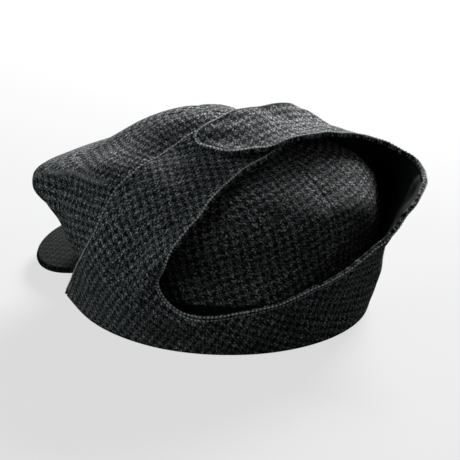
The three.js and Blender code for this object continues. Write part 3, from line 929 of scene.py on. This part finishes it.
def tweed_group():
    """The woven check as a node group, from a place on the flat cloth to a colour and a height."""
    tree = bpy.data.node_groups.new("tweed_weave", "ShaderNodeTree")
    socket = tree.interface.new_socket
    socket("Cloth place", in_out="INPUT", socket_type="NodeSocketVector")
    socket("Hat place", in_out="INPUT", socket_type="NodeSocketVector")
    sizes = (("Thread pitch", 0.00064), ("Melange", 2.1), ("Tuft scale", 1050),
             ("Check contrast", 0.46), ("Fleck and glint share", 0.5), ("Ragged", 0.0007))
    for title, value in sizes:
        socket(title, in_out="INPUT", socket_type="NodeSocketFloat").default_value = value
    for title in ("Dark wool", "Light wool", "Fleck and glint wool"):
        socket(title, in_out="INPUT", socket_type="NodeSocketColor")
    socket("Color", in_out="OUTPUT", socket_type="NodeSocketColor")
    socket("Height", in_out="OUTPUT", socket_type="NodeSocketFloat")
    given, result = tree.nodes.new("NodeGroupInput"), tree.nodes.new("NodeGroupOutput")
    hat_place = given.outputs["Hat place"]

    def do(operation, *values):
        return calc(tree, operation, *values)

    wander = tree.nodes.new("ShaderNodeTexNoise")
    wander.inputs["Scale"].default_value = RAGGED_SCALE
    tree.links.new(given.outputs["Cloth place"], wander.inputs["Vector"])
    centred = tree.nodes.new("ShaderNodeVectorMath")
    centred.operation = "SUBTRACT"
    feed(tree, centred.inputs, (wander.outputs["Color"], (0.5, 0.5, 0.5)))
    strayed = tree.nodes.new("ShaderNodeVectorMath")
    strayed.operation = "MULTIPLY_ADD"
    ragged = joined(tree, given.outputs["Ragged"], given.outputs["Ragged"])
    feed(tree, strayed.inputs, (centred.outputs[0], ragged, given.outputs["Cloth place"]))
    place = tree.nodes.new("ShaderNodeSeparateXYZ")
    tree.links.new(strayed.outputs[0], place.inputs[0])
    u = do("DIVIDE", place.outputs["X"], given.outputs["Thread pitch"])
    v = do("DIVIDE", place.outputs["Y"], given.outputs["Thread pitch"])
    warp, weft = do("FLOOR", u), do("FLOOR", v)
    dark_half = CHECK_THREADS / 2 - 0.5
    warp_light = do("GREATER_THAN", do("FLOORED_MODULO", warp, CHECK_THREADS), dark_half)
    weft_light = do("GREATER_THAN", do("FLOORED_MODULO", weft, CHECK_THREADS), dark_half)
    twill = do("FLOORED_MODULO", do("ADD", warp, weft), TWILL_THREADS)
    warp_over = do("LESS_THAN", twill, TWILL_THREADS / 2 - 0.5)
    weft_over = do("SUBTRACT", 1, warp_over)

    def on_top(of_warp, of_weft):
        return do("ADD", do("MULTIPLY", warp_over, of_warp), do("MULTIPLY", weft_over, of_weft))

    light = on_top(warp_light, weft_light)
    warp_place = joined(tree, do("MULTIPLY", warp, WARP_STEP), do("MULTIPLY", v, YARN_DRIFT))
    weft_place = joined(tree, do("MULTIPLY", u, YARN_DRIFT), do("MULTIPLY", weft, WEFT_STEP), WEFT_LAYER)
    yarn = on_top(noise(tree, warp_place, 1), noise(tree, weft_place, 1))
    tuft = noise(tree, hat_place, given.outputs["Tuft scale"], 3, 0.65)
    cloud = noise(tree, hat_place, CLOUD_SCALE, 2)
    swing = do("MULTIPLY_ADD", do("SUBTRACT", yarn, 0.5), YARN_SWING, do("SUBTRACT", tuft, 0.5))
    swing = do("MULTIPLY_ADD", do("SUBTRACT", cloud, 0.5), CLOUD_SWING, swing)
    swing = do("MULTIPLY", swing, given.outputs["Melange"])
    spun = do("POWER", SPUN_BASE, swing)
    warp_round = do("ABSOLUTE", do("SINE", do("MULTIPLY", u, math.pi)))
    weft_round = do("ABSOLUTE", do("SINE", do("MULTIPLY", v, math.pi)))
    round_yarn = on_top(warp_round, weft_round)
    # painted shade: the colour darkens in the gaps between the threads
    painted_light = do("MULTIPLY_ADD", round_yarn, *THREAD_GAP_SHADE)
    shade = do("MULTIPLY_ADD", light, given.outputs["Check contrast"], DARK_THREAD)
    shade = do("MULTIPLY", do("MULTIPLY", shade, spun), painted_light)
    kept = tree.nodes.new("ShaderNodeClamp")
    tree.links.new(shade, kept.inputs[0])
    wool = colour_mix(tree, kept.outputs[0], given.outputs["Dark wool"], given.outputs["Light wool"])

    # pale specks: stray wool, and also painted glints on the yarn
    speck = noise(tree, hat_place, FLECK_AND_GLINT_SCALE, 1, 0.5)
    bright = do("GREATER_THAN", speck, do("SUBTRACT", FLECK_AND_GLINT_LIMIT, given.outputs["Fleck and glint share"]))
    flecks_and_glints = do("MULTIPLY", bright, do("ADD", 0.25, do("MULTIPLY", light, 0.75)))
    colour = colour_mix(tree, flecks_and_glints, wool, given.outputs["Fleck and glint wool"])
    tree.links.new(colour, result.inputs["Color"])

    fuzz = noise(tree, hat_place, FUZZ_SCALE, 3, 0.7)
    height = do("ADD", do("MULTIPLY", round_yarn, 0.4), do("MULTIPLY", fuzz, 0.5))
    height = do("ADD", height, do("MULTIPLY", tuft, 0.8))
    tree.links.new(height, result.inputs["Height"])
    return tree


# %% Cloth materials
WOOL_DARK = (0.003, 0.0038, 0.0038, 1)
WOOL_LIGHT = (0.36, 0.375, 0.385, 1)
# pale wool of the specks, also used for the painted glints and the painted highlight on the fold
WOOL_FLECK_AND_GLINT = (0.9, 0.91, 0.93, 1)
TWEED_SHEEN = 0.03
TWEED_BUMP = 0.0004
PAINTED_HIGHLIGHT_SHARE = 0.45  # share of pale wool painted along the fold's ridge as a highlight
PLAIN_SHEEN = 0.05
PLAIN_BUMP = 0.0003
PLAIN_FUZZ_SCALE = 1800
PLAIN_LIGHTER = 2.2
PLAIN_VARIATION = 0.35
tweed_weave = tweed_group()


def cloth_material(name, shine, bump):
    """A material with a rough woolly surface; gives it with its tree and shader."""
    material = bpy.data.materials.new(name)
    material.use_nodes = True
    tree = material.node_tree
    shader = tree.nodes["Principled BSDF"]
    shader.inputs["Roughness"].default_value = 0.95
    shader.inputs["Specular IOR Level"].default_value = 0.05
    shader.inputs["Sheen Weight"].default_value = shine
    shader.inputs["Sheen Roughness"].default_value = 0.55
    relief = tree.nodes.new("ShaderNodeBump")
    relief.inputs["Strength"].default_value = 0.8
    relief.inputs["Distance"].default_value = bump
    tree.links.new(relief.outputs["Normal"], shader.inputs["Normal"])
    return material, tree, shader, relief


def tweed_material(name, light=WOOL_LIGHT, fleck_and_glint_share=0.5):
    """The check in two shades of wool, with a painted highlight along the crown's fold ridge."""
    material, tree, shader, relief = cloth_material(name, TWEED_SHEEN, TWEED_BUMP)
    places = tree.nodes.new("ShaderNodeTexCoord")
    weave = tree.nodes.new("ShaderNodeGroup")
    weave.node_tree = tweed_weave
    weave.inputs["Dark wool"].default_value = WOOL_DARK
    weave.inputs["Light wool"].default_value = light
    weave.inputs["Fleck and glint wool"].default_value = WOOL_FLECK_AND_GLINT
    weave.inputs["Fleck and glint share"].default_value = fleck_and_glint_share
    tree.links.new(places.outputs["UV"], weave.inputs["Cloth place"])
    tree.links.new(places.outputs["Object"], weave.inputs["Hat place"])
    # the fold's ridge is painted paler, as a highlight
    painted_highlight = tree.nodes.new("ShaderNodeAttribute")
    painted_highlight.attribute_name = "painted_highlight"
    painted_highlight_amount = calc(tree, "MULTIPLY", painted_highlight.outputs["Fac"], PAINTED_HIGHLIGHT_SHARE)
    colour = colour_mix(tree, painted_highlight_amount, weave.outputs["Color"], WOOL_FLECK_AND_GLINT)
    tree.links.new(colour, shader.inputs["Base Color"])
    tree.links.new(weave.outputs["Height"], relief.inputs["Height"])
    return material


def plain_wool(name, colour):
    """A plain woven cloth of uneven shade."""
    material, tree, shader, relief = cloth_material(name, PLAIN_SHEEN, PLAIN_BUMP)
    places = tree.nodes.new("ShaderNodeTexCoord")
    fuzz = noise(tree, places.outputs["Object"], PLAIN_FUZZ_SCALE, 3, 0.7)
    cloud = noise(tree, places.outputs["Object"], CLOUD_SCALE, 3)
    shade = calc(tree, "MULTIPLY", calc(tree, "ADD", fuzz, cloud), PLAIN_VARIATION)
    light = tuple(c * PLAIN_LIGHTER for c in colour[:3]) + (1,)
    tree.links.new(colour_mix(tree, shade, colour, light), shader.inputs["Base Color"])
    tree.links.new(fuzz, relief.inputs["Height"])
    return material


crown_tweed = tweed_material("crown_tweed")
flap_tweed = tweed_material("flap_tweed")
# the peak's tweed has darker light wool: painted shade for the shadow under the crown's overhanging front
painted_shade_peak_tweed = tweed_material("painted_shade_peak_tweed", light=(0.06, 0.063, 0.064, 1), fleck_and_glint_share=0.25)
facing_wool = plain_wool("facing_wool", (0.012, 0.014, 0.013, 1))
# near-black wool on the headband, darkened as painted shade for the gap behind the flap's rim
painted_shade_band_wool = plain_wool("painted_shade_band_wool", (0.006, 0.007, 0.007, 1))
thread_wool = plain_wool("pale_thread", (0.62, 0.64, 0.65, 1))

for piece in crown_gores:
    piece.data.materials.append(crown_tweed)
ear_flap.data.materials.append(flap_tweed)
ear_flap.data.materials.append(facing_wool)
stitched_lines = drawn_line("stitch_line", [stitch_line(EDGE_INSET), stitch_line(STITCH_INSET)])
rim_stitches = stitched("flap_topstitching", stitched_lines, stitch_tree(), thread_wool)

# %% [markdown]
# The headband is a ring of plain wool that the wearer's head fills, near black, darkened as painted
# shade for the dark gap behind the flap's rim. It is an oval wall swept round the head, with its
# foot and top rounded over so that no hard edge catches the light.

# %% Headband
BAND_STEPS = 240
BAND_EDGE = [0, 0.25, 0.6, 1.1, 1.8]
BAND_EDGE_ROUND = 1.2
BAND_EDGE_SHARE = 0.4  # share of the thickness that is rounded off at the edges
BAND_ROWS = 12
BAND_ROWS_FROM = 4
BAND_TOP_GAP = 0.05


def headband():
    """The ring of cloth at the hat's foot."""
    top = BAND_HEIGHT - BAND_TOP_GAP
    side = np.linspace(BAND_ROWS_FROM, top - BAND_ROWS_FROM, BAND_ROWS)
    heights = np.array([*BAND_EDGE, *side, *(top - np.array(BAND_EDGE[::-1]))])
    from_edge = np.minimum(heights, top - heights)
    edge = np.clip(from_edge / BAND_EDGE_ROUND, 0, 1)
    half = CLOTH / 2 * (1 - BAND_EDGE_SHARE + BAND_EDGE_SHARE * np.sqrt(1 - (1 - edge) ** 2))
    angle = np.linspace(0, 2 * math.pi, BAND_STEPS, endpoint=False)
    out = np.stack([np.cos(angle), np.sin(angle), angle * 0], -1)[:, None, :]
    size = np.array([HALF_WIDTH, HALF_LENGTH, 0]) - [CLOTH / 2, CLOTH / 2, 0]
    middle = out * size + heights[None, :, None] * np.array([0, 0, 1])
    outer = middle + out * half[None, :, None]
    inner = middle - out * half[None, :, None]
    flat = np.stack(np.broadcast_arrays(angle[:, None] * HALF_WIDTH, heights[None, :]), -1)
    piece = cloth_wall("headband_ring", outer, inner, flat, closed_round=True)
    piece.data.materials.append(painted_shade_band_wool)
    return piece


band = headband()

# %% [markdown]
# The peak is a stiff crescent of board covered in tweed. It bows across and dips at its edge. Its
# rim is a full round, so the thickness closes like the edge of a cushion.

# %% Peak
PEAK_THICKNESS = 4
PEAK_SPREAD = 46
PEAK_DEPTH = 48
PEAK_ROOT_HEIGHT = 20
PEAK_DROP = 8
PEAK_ARCH = 5
PEAK_ARCH_HALF_WIDTH = 60
PEAK_SIDE_LEAN = 0.75
PEAK_ROUNDNESS = 0.45
PEAK_CURL = 1.6
PEAK_SIDE_DEPTH = 4
PEAK_COLUMNS = 120
PEAK_RIM = 0.12  # share of the depth next to the rim that has closer rows
PEAK_RIM_ROWS = 10
PEAK_ROWS = 30
PEAK_RIM_ROUND = 0.55  # reach of the round rim, in thicknesses
PEAK_GRAIN = 12


def peak_face(across, out):
    """Top of the peak's middle, before it is rounded at the rim."""
    angle = -math.pi / 2 + across * math.radians(PEAK_SPREAD)
    root_x, root_y = (HALF_WIDTH + GAP) * np.cos(angle), (HALF_LENGTH + GAP) * np.sin(angle)
    lean = np.stack([PEAK_SIDE_LEAN * np.cos(angle), np.sin(angle)], -1)
    lean /= np.linalg.norm(lean, axis=-1, keepdims=True)
    depth = PEAK_DEPTH * np.maximum(1 - across**2, 0) ** PEAK_ROUNDNESS
    reach = np.maximum(depth, PEAK_SIDE_DEPTH) * out
    x, y = root_x + lean[..., 0] * reach, root_y + lean[..., 1] * reach
    arch = PEAK_ARCH * (x / PEAK_ARCH_HALF_WIDTH) ** 2
    drop = PEAK_DROP * (reach / PEAK_DEPTH) ** PEAK_CURL
    return np.stack([x, y, PEAK_ROOT_HEIGHT - drop - arch], -1), reach, depth


def peak():
    """The peak as a closed wall with a round rim."""
    across = -np.cos(np.linspace(0, math.pi, PEAK_COLUMNS + 1))[:, None]
    near_rim = np.linspace(0, PEAK_RIM, PEAK_RIM_ROWS + 1)[:-1]
    out = 1 - np.concatenate([near_rim, np.linspace(PEAK_RIM, 1, PEAK_ROWS + 1)])[None, :]
    across, out = np.broadcast_arrays(across, out)
    top, reach, depth = peak_face(across, out)
    limit = np.maximum(depth, PEAK_SIDE_DEPTH)
    rim = np.clip((limit - reach) / (PEAK_THICKNESS * PEAK_RIM_ROUND), 0, 1)
    half = PEAK_THICKNESS / 2 * np.sqrt(1 - (1 - rim) ** 2)
    middle = top - [0, 0, PEAK_THICKNESS / 2]
    outer = middle + half[..., None] * [0, 0, 1]
    inner = middle - half[..., None] * [0, 0, 1]
    flat = np.stack([top[..., 0], -top[..., 1]], -1)
    piece = cloth_wall("peak_cloth", outer, inner, turned(flat, PEAK_GRAIN))
    piece.data.materials.append(painted_shade_peak_tweed)
    return piece


peak_piece = peak()

# %% [markdown]
# Every piece now takes the place of its solid, which is hidden, and rides on the hat's one body.

# %% Tie the pieces to the frame
for number, piece in enumerate(crown_gores):
    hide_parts(f"crown_panel_{number + 1}")
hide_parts("ear_flap_wrap")
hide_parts("headband")
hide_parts("peak")
for piece in [*crown_gores, ear_flap, rim_stitches, band, peak_piece]:
    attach(piece, "root")
